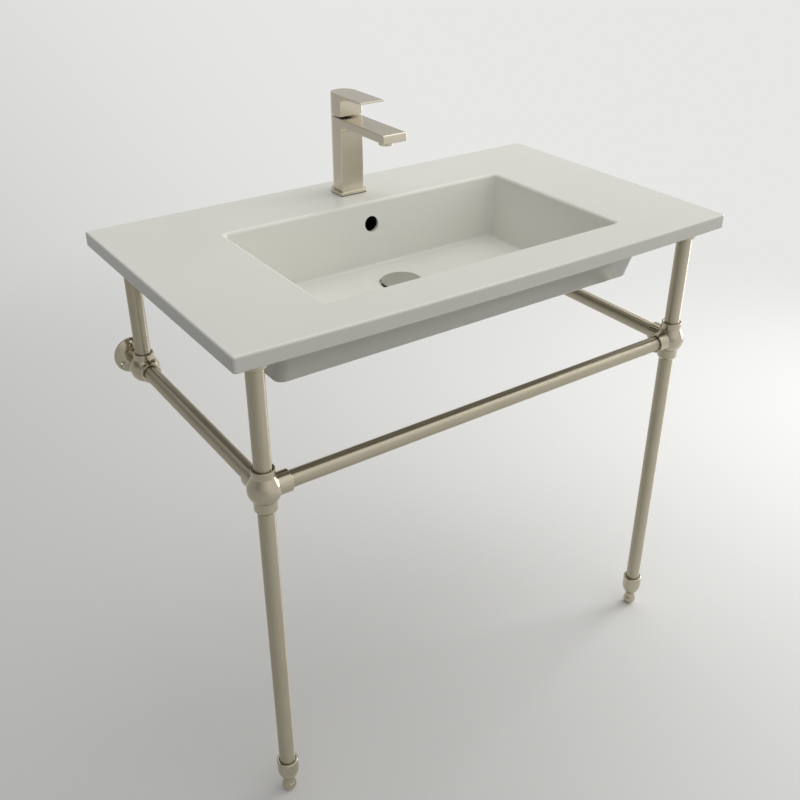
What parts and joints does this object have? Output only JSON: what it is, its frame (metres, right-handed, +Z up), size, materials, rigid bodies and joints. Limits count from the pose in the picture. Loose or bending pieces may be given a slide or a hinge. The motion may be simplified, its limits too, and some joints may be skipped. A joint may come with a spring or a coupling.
{
  "type": "console bathroom sink",
  "caption": "Console sink: white ceramic top with a rectangular bowl, lever faucet and push stopper, on a brushed nickel tube stand with levelling feet and round wall flanges.",
  "frame": {"origin": "on the floor, below the middle of the top's outline", "axes": "+X to the user's right when facing the sink, +Y to the wall behind it, +Z up"},
  "size_m": [0.915, 0.5409, 1.0355],
  "materials": {
    "glazed_white": "gloss",
    "stand_nickel": "satin",
    "faucet_nickel": "satin",
    "drain_nickel": "satin",
    "plain_steel": "satin",
    "raw_brass": "satin",
    "black_rubber": "matte",
    "black_plastic": "matte",
    "white_nylon": "matte"
  },
  "bodies": {
    "sink": {"aerator_housing": "faucet_nickel", "aerator_insert": "white_nylon", "basin_top": "glazed_white", "cartridge": "black_plastic", "cartridge_nut": "raw_brass", "drain_body": "drain_nickel", "drain_flange_gasket": "black_rubber", "drain_locknut": "raw_brass", "drain_tailpiece": "drain_nickel", "drain_under_gasket": "black_rubber", "drain_washer": "white_nylon", "faucet_base_plate": "faucet_nickel", "faucet_body": "faucet_nickel", "faucet_fixing_nut": "raw_brass", "faucet_fixing_stud": "plain_steel", "faucet_gasket": "black_rubber", "faucet_rubber_horseshoe": "black_rubber", "faucet_steel_horseshoe": "plain_steel", "fitting_set_screws": "plain_steel", "front_rail": "stand_nickel", "left_corner_fitting": "stand_nickel", "left_foot_nut": "raw_brass", "left_front_top_pad": "white_nylon", "left_front_top_socket": "stand_nickel", "left_lower_leg": "stand_nickel", "left_rear_fitting": "stand_nickel", "left_rear_top_pad": "white_nylon", "left_rear_top_socket": "stand_nickel", "left_rear_upright": "stand_nickel", "left_side_rail": "stand_nickel", "left_upper_leg": "stand_nickel", "left_wall_flange": "stand_nickel", "right_corner_fitting": "stand_nickel", "right_foot_nut": "raw_brass", "right_front_top_pad": "white_nylon", "right_front_top_socket": "stand_nickel", "right_lower_leg": "stand_nickel", "right_rear_fitting": "stand_nickel", "right_rear_top_pad": "white_nylon", "right_rear_top_socket": "stand_nickel", "right_rear_upright": "stand_nickel", "right_side_rail": "stand_nickel", "right_upper_leg": "stand_nickel", "right_wall_flange": "stand_nickel", "stopper_click": "black_plastic"},
    "mixer": {"mixer_spindle": "plain_steel", "pivot_pin": "plain_steel"},
    "lever": {"lever_handle": "faucet_nickel", "lever_stem": "plain_steel", "lever_set_screw": "plain_steel"},
    "stopper": {"drain_stopper": "drain_nickel", "stopper_seal": "black_rubber"},
    "left_foot": {"left_levelling_foot": "stand_nickel"},
    "right_foot": {"right_levelling_foot": "stand_nickel"}
  },
  "joints": [
    {"name": "temperature_swivel", "type": "hinge", "parent": "sink", "child": "mixer", "pos_m": [0, 0.2075, 0.9965], "axis": [0, 0, 1], "range_deg": [-45, 45]},
    {"name": "lever_lift", "type": "hinge", "parent": "mixer", "child": "lever", "pos_m": [0, 0.2215, 1.0105], "axis": [-1, 0, 0], "range_deg": [0, 22]},
    {"name": "stopper_lift", "type": "slide", "parent": "sink", "child": "stopper", "axis": [0, 0, 1], "range_m": [0, 0.008]},
    {"name": "left_foot_level", "type": "slide", "parent": "sink", "child": "left_foot", "axis": [0, 0, 1], "range_m": [-0.008, 0.006]},
    {"name": "right_foot_level", "type": "slide", "parent": "sink", "child": "right_foot", "axis": [0, 0, 1], "range_m": [-0.008, 0.006]}
  ]
}
